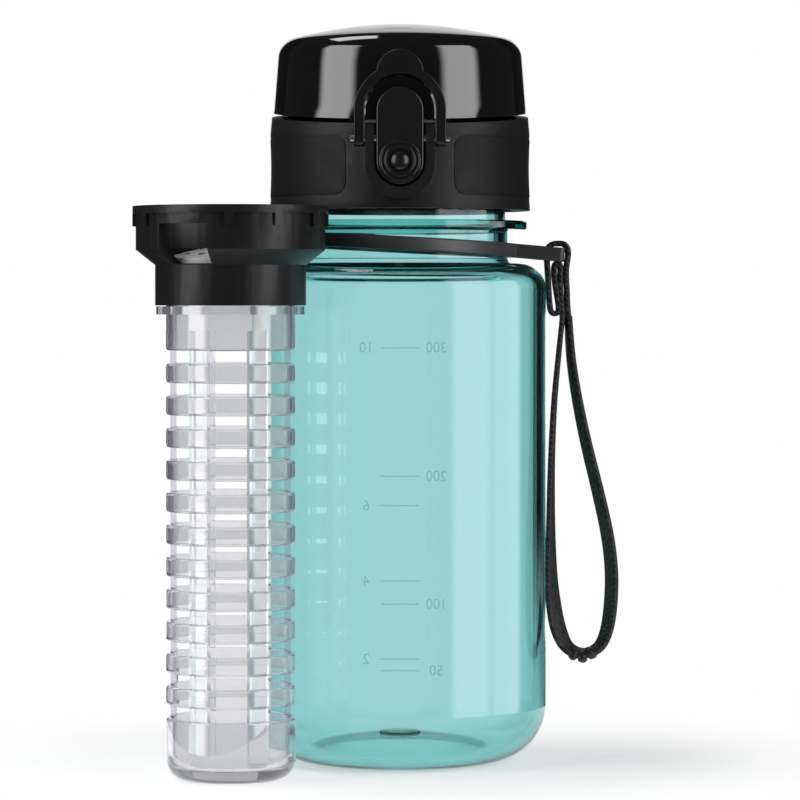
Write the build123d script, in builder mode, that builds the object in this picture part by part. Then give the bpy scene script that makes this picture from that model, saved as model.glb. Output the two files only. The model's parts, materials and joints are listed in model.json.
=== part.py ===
"""Fruit infuser water bottle: clear bottle, screw lid with a flip cover, strap, lanyard and infuser.

Millimetres, +Z up. The origin is the centre of the bottle's base. The front, with its push
button, faces -Y, and the strap's tongue points to +X. The infuser stands beside the bottle,
to the front left.
"""

import os
from math import asin, cos, degrees, radians, sin, tan

from build123d import *

os.makedirs("parts", exist_ok=True)

# Clearances that pieces share
running_gap = 0.05
seat_gap = 0.05
slide_gap = 0.3
overrun = 4.0

# Bottle
body_radius = 34.0
bottle_wall = 2.0
base_corner_radius = 13.0
base_thickness = 2.3
rest_ring_width = 2.6
punt_rise = 3.2
shoulder_height = 115.7
shoulder_radius = 6.0
shoulder_step = 8.9
neck_wall = 2.2
neck_corner_radius = 1.2
neck_length = 27.35
flange_rise = 7.8
flange_thickness = 2.0
flange_width = 4.5
thread_step = 0.5
mouth_wall = 2.3
ledge_width = 0.8
ledge_depth = 4.7
ledge_thickness = 1.6

# Screw thread of the neck and the collar
thread_pitch = 4.0
thread_turns = 1.25
thread_depth = 1.45
thread_root_width = 2.0
thread_crest_width = 1.0
thread_root_bite = 0.5
thread_drop = 11.05

# Collar of the lid. Its waist and grips are measured from its foot, its seam and latch from the neck's top.
collar_gap = 2.5
collar_wall = 3.95
collar_waist_depth = 0.4
collar_waist_rise = 11.5
collar_bulge_depth = 0.15
collar_bulge_drop = 4.2
collar_top_depth = 0.5
collar_rim_thickness = 2.2
deck_thickness = 2.0
seal_thickness = 1.45
seam_tilt = 5.2
seam_rise = 6.65
seam_gap = 1.0

# Grip panels
grip_rise = 3.1
grip_top_drop = 5.4
grip_half_gap = 12.35
grip_depth = 1.0
grip_stand = 0.12
grip_corner_radius = 2.6

# Latch: frame, button, pin and bail. A stand is how far something stands before the collar's rim.
pin_rise = 0.45
pin_stand = 1.6
pin_radius = 0.72
pin_overhang = 0.9
button_half_width = 5.35
button_drop = 4.55
button_span = 11.25
button_back_stand = 0.2
button_thickness = 2.9
button_gap = 0.5
button_travel = 1.6
stud_radius = 2.2
stud_rise = 1.0
ring_radii = (3.35, 4.45)
ring_ridge = 0.22
button_edge = 0.45
nose_width = 4.4
nose_height = 1.6
nose_drop = 3.0
stud_groove = 0.4
ring_width = 0.5
nose_reach = 2.4
boss_wall = 1.95
boss_foot_wall = 2.65
boss_root = 1.8
frame_wall = 1.8
frame_rim = 0.8
frame_step = 0.45
frame_stand = 1.1
frame_root = 2.3
catch_half_width = 0.9
catch_rise = 0.4
bail_half_width = 10.35
bail_leg_width = 2.35
bail_thickness = 2.0
bail_arch_rise = 6.2
bail_tab_radius = 5.3
bail_tab_rise = 20.0

# Springs
latch_spring_radius = 1.7
latch_spring_wire_radius = 0.3
latch_spring_turns = 4
latch_spring_socket_depth = 0.9
latch_spring_room = 0.25
cover_spring_radius = 1.45
cover_spring_wire_radius = 0.35
cover_spring_turns = 5
cover_spring_leg = 6.5

# Flip cover: each place of its outline is so far inside or below the one before
cover_rise = 21.5
cover_side_inset = 1.45
cover_side_drop = 1.85
cover_corner_inset = 0.85
cover_corner_drop = 1.45
cover_brow_inset = 1.6
cover_crown_rise = 3.7
cover_wall = 2.0

# Rear hinge of the cover
hinge_stand = 1.6
hinge_rise = 1.5
hinge_pin_radius = 0.9
knuckle_radius = 2.3
knuckle_inner = 2.6
knuckle_width = 2.5
knuckle_gap = 0.3
ear_width = 3.0
knuckle_arm_rise = 7.8
ear_drop = 8.2

# Spout, plug and air valve
spout_offset_share = 0.3139
spout_bore_share = 0.4126
valve_offset_share = 0.6726
spout_wall = 1.4
spout_flare = 1.0
spout_flange_width = 1.9
spout_flange_thickness = 1.6
spout_rise = 13.4
spout_neck_wall = 1.8
spout_clip_width = 0.7
spout_clip_height = 1.2
plug_overhang = 2.9
plug_wall = 1.2
plug_thickness = 2.0
plug_skirt = 3.2
plug_boss_gap = 0.8
plug_boss_drop = 1.6
plug_gap = 0.3
carrier_wall = 1.8
valve_head_width = 2.5
valve_head_thickness = 1.2
valve_stem_radius = 1.5
valve_bulb_width = 0.7
valve_bulb_height = 1.6

# Strap ring on the neck, its tongue and the webbing
strap_gap = 0.35
strap_thickness = 2.1
strap_band = 3.2
strap_rise = 4.4
strap_tilt = 3.0
tongue_tilt = 5.0
tongue_bite = 0.95
tongue_reach = 11.7
tongue_side = 1.45
tongue_corner_radius = 1.2
tongue_bar = 2.55
slot_length = 2.4
slot_gap = 0.35
strap_edge = 0.4
webbing_width = 5.0
webbing_thickness = 1.3
hitch_gap = 0.1
hitch_inset = 0.35
hitch_overhang = 1.2
hitch_waist_inset = 1.0
hitch_waist_drop = 7.1
hitch_foot_drop = 16.6
hitch_fold = 1.6

# Route of the lanyard, as places across and up in the plane that the webbing hangs in
lanyard_points = [
    (37.9, 103.5),
    (37.1, 95.8),
    (35.9, 83.4),
    (35.3, 69.9),
    (35.15, 55.6),
    (35.25, 42.9),
    (35.9, 35.2),
    (37.1, 29.6),
    (39.2, 25.6),
    (43.1, 24.4),
    (46.8, 26.1),
    (48.5, 30.4),
    (49.3, 36.6),
    (49.5, 43.6),
    (48.6, 52.0),
    (46.2, 62.6),
    (43.2, 74.5),
    (40.9, 86.0),
    (39.5, 96.2),
    (39.25, 103.5),
]

# Infuser, which stands beside the bottle
infuser_side_gap = 3.8
infuser_front_gap = 4.0
tube_radius = 14.5
tube_wall = 1.4
tube_base_thickness = 3.0
tube_corner_radius = 4.5
tube_drop = 2.4
tube_flange_drop = 9.3
tube_flange_thickness = 1.8
tube_flange_width = 2.15
slot_count = 12
first_slot_height = 15.5
slot_margin = 9.41
slot_height = 2.8
ring_edge = 0.65
inner_rib_count = 6
inner_rib_width = 4.6
inner_rib_height = 1.1
inner_rib_bite = 0.3
sleeve_wall = 2.0
sleeve_length = 9.0
sleeve_gap = 0.2
cup_width = 4.3
cup_slope = 3.4
cup_depth = 9.7
cup_wall = 1.6
rim_width = 0.7
rim_thickness = 1.8
cap_rib_count = 12
cap_rib_width = 2.0
cap_rib_length = 2.7
window_turn = -118.4
window_count = 2
window_angle = 33.6
window_rise = 0.25
window_drop = 4.1
strainer_gap = 0.25
strainer_edge_height = 1.4
strainer_rise = 4.1
strainer_thickness = 1.2
strainer_seat_thickness = 1.3
strainer_seat_width = 0.9
strainer_hole_radius = 0.95
strainer_ring_shares = (0.26, 0.534, 0.795)
strainer_hole_counts = (6, 10, 15)

# Sizes worked out from those above: the bottle's neck
neck_radius = body_radius - shoulder_step
neck_bore_radius = neck_radius - neck_wall
neck_top_height = shoulder_height + neck_length
neck_thread_height = neck_top_height - thread_drop
flange_height = shoulder_height + flange_rise
flange_radius = neck_radius + flange_width
thread_root_radius = neck_radius - thread_step
mouth_radius = thread_root_radius - mouth_wall
ledge_radius = mouth_radius - ledge_width

# The collar and its deck
deck_height = neck_top_height + seal_thickness + 2 * seat_gap
deck_top_height = deck_height + deck_thickness
collar_bore_radius = thread_root_radius + thread_depth + slide_gap
collar_height = flange_height + flange_thickness + collar_gap
seam_height = neck_top_height + seam_rise
collar_foot_radius = collar_bore_radius + collar_wall
collar_waist_radius = collar_foot_radius - collar_waist_depth
collar_waist_height = collar_height + collar_waist_rise
collar_bulge_radius = collar_foot_radius - collar_bulge_depth
collar_bulge_height = seam_height - collar_bulge_drop
collar_top_radius = collar_foot_radius - collar_top_depth
grip_height = collar_height + grip_rise
grip_top_height = seam_height - grip_top_drop

# The latch. A depth is a distance from the bottle's axis towards the front.
pin_height = neck_top_height + pin_rise
pin_depth = collar_top_radius + pin_stand
pin_length = 2 * (bail_half_width + pin_overhang)
button_low_centre = neck_top_height - button_drop
button_high_centre = button_low_centre + button_span
button_back_depth = collar_top_radius + button_back_stand
button_front_depth = button_back_depth + button_thickness
boss_depth = button_front_depth
boss_root_depth = collar_top_radius - boss_root
frame_depth = collar_top_radius + frame_stand
frame_root_depth = collar_top_radius - frame_root
bail_arch_height = pin_height + bail_arch_rise
bail_tab_height = pin_height + bail_tab_rise
bail_inner_radius = bail_half_width - bail_leg_width
frame_radius = bail_inner_radius - slide_gap + running_gap

# The cover and its hinge
cover_seam_height = seam_height + seam_gap
seam_slope = tan(radians(seam_tilt))
cover_height = seam_height + cover_rise
cover_brow_height = cover_height - cover_crown_rise
cover_corner_height = cover_brow_height - cover_corner_drop
cover_side_height = cover_corner_height - cover_side_drop
cover_foot_radius = collar_top_radius
cover_side_radius = cover_foot_radius - cover_side_inset
cover_corner_radius = cover_side_radius - cover_corner_inset
cover_brow_radius = cover_corner_radius - cover_brow_inset
hinge_depth = collar_top_radius + hinge_stand
hinge_height = seam_height + hinge_rise
knuckle_arm_height = hinge_height + knuckle_arm_rise
ear_foot_height = hinge_height - ear_drop

# The spout, the plug and the valve
spout_height = deck_top_height + spout_rise
spout_offset = spout_offset_share * mouth_radius
spout_bore_radius = spout_bore_share * mouth_radius
valve_offset = valve_offset_share * mouth_radius
spout_tip_radius = spout_bore_radius + spout_wall
spout_root_radius = spout_tip_radius + spout_flare
spout_flange_radius = spout_root_radius + spout_flange_width
spout_neck_radius = spout_bore_radius + spout_neck_wall
spout_clip_radius = spout_neck_radius + spout_clip_width
plug_radius = spout_tip_radius + plug_overhang
plug_boss_radius = spout_bore_radius - plug_boss_gap
valve_head_radius = valve_stem_radius + valve_head_width
valve_bulb_radius = valve_stem_radius + valve_bulb_width

# The strap ring and the hitch
strap_bore_radius = neck_radius + strap_gap
strap_height = shoulder_height + strap_rise
tongue_root = strap_bore_radius + strap_thickness - tongue_bite
tongue_end = tongue_root + tongue_reach
slot_end = tongue_end - tongue_bar
slot_start = slot_end - slot_length
slot_width = webbing_width + 2 * slot_gap
tongue_width = slot_width + 2 * tongue_side
hitch_bottom = strap_height - hitch_foot_drop
hitch_left = slot_start + hitch_inset
hitch_right = tongue_end + hitch_overhang
hitch_waist = slot_start + hitch_waist_inset
hitch_waist_height = strap_height - hitch_waist_drop

# The infuser
infuser_across = -body_radius - infuser_side_gap
infuser_forward = body_radius + infuser_front_gap
tube_height = shoulder_height - tube_drop
tube_flange_height = tube_height - tube_flange_drop
slot_pitch = (tube_flange_height - slot_margin - first_slot_height) / (slot_count - 1)
tube_flange_radius = tube_radius + tube_flange_width
sleeve_bore_radius = tube_radius + slide_gap + running_gap
sleeve_height = tube_flange_height + tube_flange_thickness + sleeve_gap
sleeve_radius = sleeve_bore_radius + sleeve_wall
sleeve_top_height = sleeve_height + sleeve_length
cup_foot_height = sleeve_top_height + cup_slope
cup_radius = sleeve_radius + cup_width
rim_radius = cup_radius + rim_width
cap_height = cup_foot_height + cup_depth
window_height = sleeve_top_height + window_rise
window_top_height = cap_height - window_drop
strainer_radius = sleeve_bore_radius - strainer_gap
infuser_floor = Plane(origin=(infuser_across, -infuser_forward, 0))
infuser_section = Plane(origin=(infuser_across, -infuser_forward, 0), x_dir=(1, 0, 0), z_dir=(0, -1, 0))
infuser_axis = Axis((infuser_across, -infuser_forward, 0), (0, 0, 1))


def seam_plane(height):
    """The slanting plane between collar and cover, which rises towards the hinge."""
    return Plane(origin=(0, 0, height), z_dir=(0, -sin(radians(seam_tilt)), cos(radians(seam_tilt))))


def front_plane(depth):
    """An upright plane that faces the front, at a distance from the bottle's axis."""
    return Plane.XZ.offset(depth)


def pill(radius, low_centre, high_centre, mode=Mode.ADD):
    """An upright outline with a round head and a round foot, drawn into the open sketch."""
    with Locations((0, (low_centre + high_centre) / 2)):
        SlotCenterToCenter(high_centre - low_centre, 2 * radius, rotation=90, mode=mode)


def thread_ridge(root_radius, crest_radius, start_height):
    """One screw ridge on the bottle's axis, from its root radius to its crest radius."""
    inward = 1 if crest_radius > root_radius else -1
    buried_radius = root_radius - inward * thread_root_bite
    with BuildPart() as ridge:
        with BuildLine() as path:
            Helix(thread_pitch, thread_pitch * thread_turns, root_radius, center=(0, 0, start_height))
        with BuildSketch(Plane(origin=path.line @ 0, x_dir=(1, 0, 0), z_dir=path.line % 0)):
            with BuildLine():
                Polyline(
                    (buried_radius - root_radius, -thread_root_width / 2),
                    (0, -thread_root_width / 2),
                    (crest_radius - root_radius, -thread_crest_width / 2),
                    (crest_radius - root_radius, thread_crest_width / 2),
                    (0, thread_root_width / 2),
                    (buried_radius - root_radius, thread_root_width / 2),
                    close=True,
                )
            make_face()
        sweep(path=path.line, is_frenet=True)
    return ridge.part


# Bottle body: one shell, with a punt, a rounded shoulder, a flange and an inner ledge for the infuser
inner_radius = body_radius - bottle_wall
inner_corner_radius = base_corner_radius - bottle_wall
rest_ring_outer = body_radius - base_corner_radius
rest_ring_inner = rest_ring_outer - rest_ring_width
floor_radius = inner_radius - inner_corner_radius
punt_radius = (rest_ring_inner**2 + punt_rise**2) / (2 * punt_rise)
floor_dome_radius = (floor_radius**2 + punt_rise**2) / (2 * punt_rise)
ledge_height = neck_top_height - ledge_depth
ledge_foot_height = ledge_height - ledge_thickness
flange_top = flange_height + flange_thickness
shoulder_underside = shoulder_height - bottle_wall
shoulder_corner = (body_radius - shoulder_radius, shoulder_height - shoulder_radius)
inner_shoulder_radius = shoulder_radius - bottle_wall
neck_corner = (neck_radius + neck_corner_radius, shoulder_height + neck_corner_radius)
throat_corner = (neck_bore_radius + bottle_wall, shoulder_underside + bottle_wall)

with BuildPart() as bottle_body:
    with BuildSketch(Plane.XZ):
        with BuildLine():
            Line((rest_ring_inner, 0), (rest_ring_outer, 0))
            CenterArc((rest_ring_outer, base_corner_radius), base_corner_radius, -90, 90)
            Line((body_radius, base_corner_radius), (body_radius, shoulder_corner[1]))
            CenterArc(shoulder_corner, shoulder_radius, 0, 90)
            Line((shoulder_corner[0], shoulder_height), (neck_corner[0], shoulder_height))
            CenterArc(neck_corner, neck_corner_radius, 180, 90)
            Polyline(
                (neck_radius, neck_corner[1]),
                (neck_radius, flange_height),
                (flange_radius, flange_height),
                (flange_radius, flange_top),
                (thread_root_radius, flange_top),
                (thread_root_radius, neck_top_height),
                (mouth_radius, neck_top_height),
                (mouth_radius, ledge_height),
                (ledge_radius, ledge_height),
                (ledge_radius, ledge_foot_height),
                (neck_bore_radius, ledge_foot_height - (neck_bore_radius - ledge_radius)),
                (neck_bore_radius, throat_corner[1]),
            )
            CenterArc(throat_corner, bottle_wall, 180, 90)
            Line((throat_corner[0], shoulder_underside), (shoulder_corner[0], shoulder_underside))
            CenterArc(shoulder_corner, inner_shoulder_radius, 0, 90)
            Line((inner_radius, shoulder_corner[1]), (inner_radius, base_thickness + inner_corner_radius))
            CenterArc((floor_radius, base_thickness + inner_corner_radius), inner_corner_radius, -90, 90)
            floor_turn = degrees(asin(floor_radius / floor_dome_radius))
            CenterArc(
                (0, punt_rise + base_thickness - floor_dome_radius),
                floor_dome_radius,
                90 - floor_turn,
                floor_turn,
            )
            Line((0, punt_rise + base_thickness), (0, punt_rise))
            punt_turn = degrees(asin(rest_ring_inner / punt_radius))
            CenterArc((0, punt_rise - punt_radius), punt_radius, 90 - punt_turn, punt_turn)
        make_face()
    revolve(axis=Axis.Z)
    add(thread_ridge(thread_root_radius, thread_root_radius + thread_depth, neck_thread_height))
bottle_body.part.label = "bottle_body"

# Neck seal: a flat ring between the neck's top and the deck
with BuildPart() as neck_seal_ring:
    with BuildSketch(Plane.XY.offset(neck_top_height + seat_gap)):
        Circle(thread_root_radius - seat_gap)
        Circle(mouth_radius + seat_gap, mode=Mode.SUBTRACT)
    extrude(amount=seal_thickness)
neck_seal_ring.part.label = "neck_seal_ring"


def grip_panel(side, stand, clearance):
    """A panel let into one side of the collar, standing proud of it and grown by a clearance."""
    low, high = grip_height - clearance, grip_top_height + clearance
    inner = collar_waist_radius - grip_depth - clearance
    across = (grip_half_gap - clearance + body_radius) / 2
    with BuildPart() as panel:
        with BuildSketch(Plane.XZ):
            with BuildLine():
                ThreePointArc(
                    (collar_foot_radius + stand, collar_height),
                    (collar_waist_radius + stand, collar_waist_height),
                    (collar_bulge_radius + stand, collar_bulge_height),
                )
                Polyline(
                    (collar_bulge_radius + stand, collar_bulge_height),
                    (inner, collar_bulge_height),
                    (inner, collar_height),
                    (collar_foot_radius + stand, collar_height),
                )
            make_face()
        revolve(axis=Axis.Z)
        with BuildSketch(front_plane(-body_radius)):
            with Locations((side * across, (low + high) / 2)):
                RectangleRounded(body_radius - grip_half_gap + clearance, high - low, grip_corner_radius)
        extrude(amount=2 * body_radius, mode=Mode.INTERSECT)
    return panel.part


# Collar: threaded skirt with a deck, cut off along the slanting seam
pocket_half_width = button_half_width + button_gap
boss_half_width = pocket_half_width + boss_wall
boss_low_centre = button_low_centre - (boss_foot_wall - boss_wall)
pocket_floor_depth = button_back_depth - button_travel
spring_floor_depth = pocket_floor_depth - latch_spring_socket_depth
spring_socket_radius = latch_spring_radius + latch_spring_wire_radius + latch_spring_room
rear_rim_height = seam_height + collar_foot_radius * seam_slope
ear_start = knuckle_inner + knuckle_width + knuckle_gap
notch_half_width = ear_start - running_gap

with BuildPart() as lid_collar:
    with BuildSketch(Plane.XZ):
        with BuildLine():
            ThreePointArc(
                (collar_foot_radius, collar_height),
                (collar_waist_radius, collar_waist_height),
                (collar_bulge_radius, collar_bulge_height),
            )
            Polyline(
                (collar_bulge_radius, collar_bulge_height),
                (collar_top_radius, seam_height),
                (collar_top_radius, rear_rim_height + overrun),
                (collar_top_radius - collar_rim_thickness, rear_rim_height + overrun),
                (collar_top_radius - collar_rim_thickness, deck_top_height),
                (0, deck_top_height),
                (0, deck_height),
                (collar_bore_radius, deck_height),
                (collar_bore_radius, collar_height),
                (collar_foot_radius, collar_height),
            )
        make_face()
    revolve(axis=Axis.Z)
    with BuildSketch(front_plane(boss_root_depth)):
        pill(boss_half_width, boss_low_centre, button_high_centre)
    extrude(amount=boss_depth - boss_root_depth)
    split(bisect_by=seam_plane(seam_height), keep=Keep.BOTTOM)
    with BuildSketch(front_plane(pocket_floor_depth)):
        pill(pocket_half_width, button_low_centre, button_high_centre)
    extrude(amount=boss_depth - pocket_floor_depth + overrun, mode=Mode.SUBTRACT)
    with BuildSketch(front_plane(spring_floor_depth)):
        with Locations((0, button_low_centre)):
            Circle(spring_socket_radius)
    extrude(amount=latch_spring_socket_depth + running_gap, mode=Mode.SUBTRACT)
    with BuildSketch(Plane.YZ.offset(-boss_half_width - overrun)):
        with Locations((-pin_depth, pin_height)):
            Circle(pin_radius + running_gap)
    extrude(amount=2 * (boss_half_width + overrun), mode=Mode.SUBTRACT)
    with BuildSketch(Plane.XY.offset(deck_height - overrun)):
        with Locations((0, -spout_offset)):
            Circle(spout_neck_radius + running_gap)
        with Locations((0, valve_offset)):
            Circle(valve_stem_radius + running_gap)
    extrude(amount=deck_thickness + 2 * overrun, mode=Mode.SUBTRACT)
    with BuildSketch(Plane.YZ.offset(-notch_half_width)):
        with Locations((hinge_depth, hinge_height)):
            Rectangle(2 * (knuckle_radius + overrun), 2 * (knuckle_radius + knuckle_gap))
    extrude(amount=2 * notch_half_width, mode=Mode.SUBTRACT)
    for side in (-1, 1):
        with BuildSketch(Plane.YZ.offset(side * ear_start)):
            with BuildLine():
                Polyline(
                    (hinge_depth + knuckle_radius, hinge_height),
                    (hinge_depth + knuckle_radius, hinge_height - knuckle_radius),
                    (collar_top_radius - knuckle_gap, ear_foot_height),
                    (collar_top_radius - collar_rim_thickness, ear_foot_height),
                    (collar_top_radius - collar_rim_thickness, hinge_height),
                    close=True,
                )
            make_face()
            with Locations((hinge_depth, hinge_height)):
                Circle(knuckle_radius)
        extrude(amount=side * ear_width)
    with BuildSketch(Plane.YZ.offset(-ear_start - ear_width - overrun)):
        with Locations((hinge_depth, hinge_height)):
            Circle(hinge_pin_radius + running_gap)
    extrude(amount=2 * (ear_start + ear_width + overrun), mode=Mode.SUBTRACT)
    collar_thread_height = neck_thread_height - thread_pitch / 2
    add(thread_ridge(collar_bore_radius, collar_bore_radius - thread_depth, collar_thread_height))
    for side in (-1, 1):
        add(grip_panel(side, overrun, seat_gap), mode=Mode.SUBTRACT)
lid_collar.part.label = "lid_collar"

# Grip panels: soft pads wrapped round the collar's sides
grip_panel_left = grip_panel(-1, grip_stand, 0)
grip_panel_left.label = "grip_panel_left"
grip_panel_right = grip_panel(1, grip_stand, 0)
grip_panel_right.label = "grip_panel_right"

# Drinking spout: a mouthpiece that clips into the deck
clip_top_height = deck_height - seat_gap
clip_foot_height = clip_top_height - spout_clip_height
spout_seat_height = deck_top_height + seat_gap
spout_axis = Axis((0, -spout_offset, 0), (0, 0, 1))
lip_radius = (spout_tip_radius - spout_bore_radius) / 2

with BuildPart() as drinking_spout:
    with BuildSketch(Plane(origin=(0, -spout_offset, 0), x_dir=(1, 0, 0), z_dir=(0, -1, 0))):
        with BuildLine():
            Polyline(
                (spout_bore_radius, spout_height - lip_radius),
                (spout_bore_radius, clip_foot_height),
                (spout_neck_radius, clip_foot_height),
                (spout_clip_radius, clip_top_height),
                (spout_neck_radius, clip_top_height),
                (spout_neck_radius, spout_seat_height),
                (spout_flange_radius, spout_seat_height),
                (spout_flange_radius, spout_seat_height + spout_flange_thickness),
                (spout_root_radius, spout_seat_height + spout_flange_thickness),
                (spout_tip_radius, spout_height - lip_radius),
            )
            ThreePointArc(
                (spout_tip_radius, spout_height - lip_radius),
                (spout_tip_radius - lip_radius, spout_height),
                (spout_bore_radius, spout_height - lip_radius),
            )
        make_face()
    revolve(axis=spout_axis)
drinking_spout.part.label = "drinking_spout"

# Air valve: a mushroom head on the deck with its stem and bulb below
valve_seat_height = deck_top_height + seat_gap
with BuildPart() as vent_valve:
    with BuildSketch(Plane(origin=(0, valve_offset, 0), x_dir=(1, 0, 0), z_dir=(0, -1, 0))):
        Polygon(
            (0, valve_seat_height + valve_head_thickness),
            (valve_stem_radius, valve_seat_height + valve_head_thickness),
            (valve_head_radius, valve_seat_height + valve_head_thickness / 3),
            (valve_head_radius, valve_seat_height),
            (valve_stem_radius, valve_seat_height),
            (valve_stem_radius, deck_height - seat_gap),
            (valve_bulb_radius, deck_height - seat_gap),
            (valve_stem_radius, deck_height - seat_gap - valve_bulb_height),
            (0, deck_height - seat_gap - valve_bulb_height),
            align=None,
        )
    revolve(axis=Axis((0, valve_offset, 0), (0, 0, 1)))
vent_valve.part.label = "vent_valve"


def dome_outline(inset):
    """The cover's half outline from the axis to its foot, moved inwards by an inset."""
    side_share, brow_share = 0.3, 0.35
    foot = (cover_foot_radius - inset, seam_height - overrun)
    side = (cover_side_radius - inset, cover_side_height - inset * side_share)
    slant = inset * cos(radians(45))
    corner = (cover_corner_radius - slant, cover_corner_height - slant)
    brow = (cover_brow_radius - inset * brow_share, cover_brow_height - inset)
    crown_rise = cover_height - cover_brow_height
    crown_radius = (brow[0] ** 2 + crown_rise**2) / (2 * crown_rise)
    crown_turn = degrees(asin(brow[0] / crown_radius))
    Line(foot, side)
    ThreePointArc(side, corner, brow)
    CenterArc((0, cover_height - inset - crown_radius), crown_radius, 90 - crown_turn, crown_turn)
    Polyline((0, cover_height - inset), (0, foot[1]), foot)


# Flip cover: domed shell with the arch frame, the latch slot, the plug's carrier and two hinge knuckles
arch_centre = button_high_centre + running_gap
carrier_radius = plug_radius - plug_wall - seat_gap
plug_foot_height = spout_height + plug_gap
carrier_foot_height = plug_foot_height + plug_thickness + seat_gap
carrier_top_height = cover_height - cover_wall
nose_top_height = button_high_centre + button_half_width - nose_drop
slot_top_height = nose_top_height + 2 * button_gap
arm_root = cover_side_radius - cover_wall / 2

with BuildPart() as flip_cover:
    with BuildSketch(Plane.XZ):
        with BuildLine():
            dome_outline(0)
        make_face()
    revolve(axis=Axis.Z)
    with BuildSketch(front_plane(frame_root_depth)):
        pill(frame_radius, button_low_centre, arch_centre)
        with Locations((0, arch_centre + frame_radius)):
            Rectangle(2 * catch_half_width, 2 * catch_rise)
    extrude(amount=frame_depth - frame_root_depth)
    with BuildSketch(front_plane(frame_depth - frame_step)):
        pill(frame_radius - frame_rim, button_low_centre, arch_centre)
    extrude(amount=overrun, mode=Mode.SUBTRACT)
    with BuildSketch(front_plane(cover_foot_radius)):
        pill(frame_radius - frame_wall, button_low_centre, arch_centre)
    extrude(amount=overrun, mode=Mode.SUBTRACT)
    with BuildSketch(Plane.XZ):
        with BuildLine():
            dome_outline(cover_wall)
        make_face()
    revolve(axis=Axis.Z, mode=Mode.SUBTRACT)
    with BuildSketch(front_plane(frame_root_depth - overrun)):
        with Locations((0, slot_top_height)):
            Rectangle(nose_width + 2 * button_gap, 4 * overrun, align=(Align.CENTER, Align.MAX))
    extrude(amount=cover_foot_radius - frame_root_depth + overrun + running_gap, mode=Mode.SUBTRACT)
    with BuildSketch(Plane.XY.offset(carrier_foot_height)):
        with Locations((0, -spout_offset)):
            Circle(carrier_radius)
            Circle(carrier_radius - carrier_wall, mode=Mode.SUBTRACT)
    extrude(amount=carrier_top_height - carrier_foot_height)
    split(bisect_by=seam_plane(cover_seam_height), keep=Keep.TOP)
    for side in (-1, 1):
        with BuildSketch(Plane.YZ.offset(side * knuckle_inner)):
            with BuildLine():
                Polyline(
                    (hinge_depth + knuckle_radius, hinge_height),
                    (cover_side_radius, knuckle_arm_height),
                    (arm_root, knuckle_arm_height),
                    (arm_root, cover_seam_height + hinge_depth * seam_slope),
                    (hinge_depth - knuckle_radius, hinge_height),
                    close=True,
                )
            make_face()
            with Locations((hinge_depth, hinge_height)):
                Circle(knuckle_radius)
        extrude(amount=side * knuckle_width)
    with BuildSketch(Plane.YZ.offset(-knuckle_inner - knuckle_width - overrun)):
        with Locations((hinge_depth, hinge_height)):
            Circle(hinge_pin_radius + running_gap)
    extrude(amount=2 * (knuckle_inner + knuckle_width + overrun), mode=Mode.SUBTRACT)
flip_cover.part.label = "flip_cover"

# Seal plug: a soft cup on the carrier, with a boss that dips into the spout
with BuildPart() as cover_seal_plug:
    with BuildSketch(Plane.XY.offset(plug_foot_height)):
        with Locations((0, -spout_offset)):
            Circle(plug_radius)
    extrude(amount=plug_thickness)
    with BuildSketch(Plane.XY.offset(plug_foot_height + plug_thickness)):
        with Locations((0, -spout_offset)):
            Circle(plug_radius)
            Circle(plug_radius - plug_wall, mode=Mode.SUBTRACT)
    extrude(amount=plug_skirt)
    with BuildSketch(Plane.XY.offset(plug_foot_height)):
        with Locations((0, -spout_offset)):
            Circle(plug_boss_radius)
    extrude(amount=-plug_boss_drop, taper=10)
cover_seal_plug.part.label = "cover_seal_plug"

# Rear hinge pin, through both ears and both knuckles
hinge_pin_half_length = ear_start + ear_width
with BuildPart() as hinge_pin:
    with BuildSketch(Plane.YZ.offset(-hinge_pin_half_length)):
        with Locations((hinge_depth, hinge_height)):
            Circle(hinge_pin_radius)
    extrude(amount=2 * hinge_pin_half_length)
    chamfer(hinge_pin.edges(), hinge_pin_radius / 6)
hinge_pin.part.label = "hinge_pin"

# Cover spring: a coil round the hinge pin, between the knuckles, with one leg over the deck
coil_half_length = knuckle_inner - knuckle_gap - cover_spring_wire_radius
with BuildPart() as cover_spring:
    with BuildLine() as coil_path:
        Helix(
            2 * coil_half_length / cover_spring_turns,
            2 * coil_half_length,
            cover_spring_radius,
            center=(-coil_half_length, hinge_depth, hinge_height),
            direction=(1, 0, 0),
        )
    with BuildSketch(Plane(origin=coil_path.line @ 0, z_dir=coil_path.line % 0)):
        Circle(cover_spring_wire_radius)
    sweep(path=coil_path.line, is_frenet=True)
    leg_start = coil_path.line @ 1
    leg_turn = coil_path.line % 1
    with BuildSketch(Plane(origin=leg_start, z_dir=leg_turn)):
        Circle(cover_spring_wire_radius)
    extrude(amount=cover_spring_leg)
cover_spring.part.label = "cover_spring"

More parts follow.
